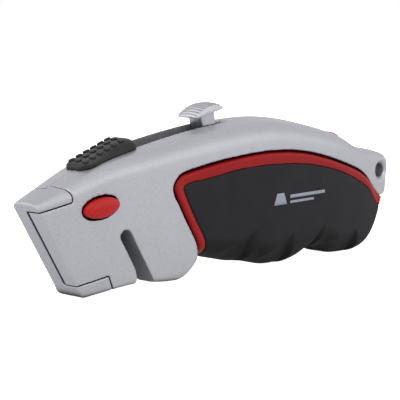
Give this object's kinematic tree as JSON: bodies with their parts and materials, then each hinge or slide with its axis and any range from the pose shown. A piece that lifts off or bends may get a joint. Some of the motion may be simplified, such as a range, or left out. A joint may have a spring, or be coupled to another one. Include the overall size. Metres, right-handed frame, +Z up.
{
  "type": "utility knife",
  "caption": "Retractable utility knife with a die-cast body, rubber grips, ribbed thumb slider, blade magazine and cord notch.",
  "frame": {"origin": "centre of the knife's bounding box at its underside, with the knife lying upright on its belly", "axes": "+Z up, -X towards the blade end, -Y towards the side with the red nose button"},
  "size_m": [0.1652, 0.0256, 0.0555],
  "materials": {
    "silver": "satin, fine grain",
    "silver_gate": "satin, fine grain",
    "steel": "brushed",
    "red_gloss": "gloss",
    "spring_steel": "bright",
    "blade_steel": "ground",
    "dark_plastic": "matte",
    "chrome": "polished",
    "black_rubber": "soft",
    "grip_rubber": "soft touch",
    "red_frame": "satin gloss",
    "screw_steel": "dark zinc"
  },
  "bodies": {
    "body": {"shell_left": "silver", "shell_right": "silver", "gate_stop_pin": "steel", "button_spring": "spring_steel", "lock_plate": "steel", "detent_rack": "dark_plastic", "cutter_guide_left": "dark_plastic", "cutter_guide_right": "dark_plastic", "thumb_pad": "black_rubber", "grip_left": "grip_rubber", "bezel_left": "red_frame", "magazine_tray": "dark_plastic", "spare_blades": "blade_steel", "magazine_follower": "dark_plastic", "follower_spring": "spring_steel", "latch_spring": "spring_steel", "body_screws": "screw_steel"},
    "gate": {"nose_gate": "silver_gate", "gate_rails": "steel"},
    "nose_button": {"nose_lock_button": "red_gloss"},
    "carriage": {"blade_carriage": "dark_plastic", "blade": "blade_steel", "slider_spring": "spring_steel"},
    "slider": {"thumb_slider": "chrome"},
    "latch": {"magazine_latch": "red_gloss"},
    "cover": {"grip_right": "grip_rubber", "bezel_right": "red_frame"}
  },
  "joints": [
    {"name": "blade_slide", "type": "slide", "parent": "body", "child": "carriage", "axis": [-0.9781, 0, -0.2079], "range_m": [0, 0.025]},
    {"name": "slider_press", "type": "slide", "parent": "carriage", "child": "slider", "axis": [0.2079, 0, -0.9781], "range_m": [0, 0.0008], "stiffness_N_per_m": 1500, "springref_m": -0.0006, "deforming": ["slider_spring"]},
    {"name": "gate_slide", "type": "slide", "parent": "body", "child": "gate", "axis": [-0.9781, 0, -0.2079], "range_m": [0, 0.012]},
    {"name": "nose_button_press", "type": "slide", "parent": "body", "child": "nose_button", "axis": [0, 1, 0], "range_m": [0, 0.0015], "stiffness_N_per_m": 1200, "springref_m": -0.0008, "deforming": ["button_spring"]},
    {"name": "latch_press", "type": "slide", "parent": "body", "child": "latch", "axis": [-0.4067, 0, -0.9135], "range_m": [0, 0.0012], "stiffness_N_per_m": 1200, "springref_m": -0.0008, "deforming": ["latch_spring"]},
    {"name": "cover_lift", "type": "slide", "parent": "body", "child": "cover", "axis": [0, 1, 0], "range_m": [0, 0.03]}
  ]
}
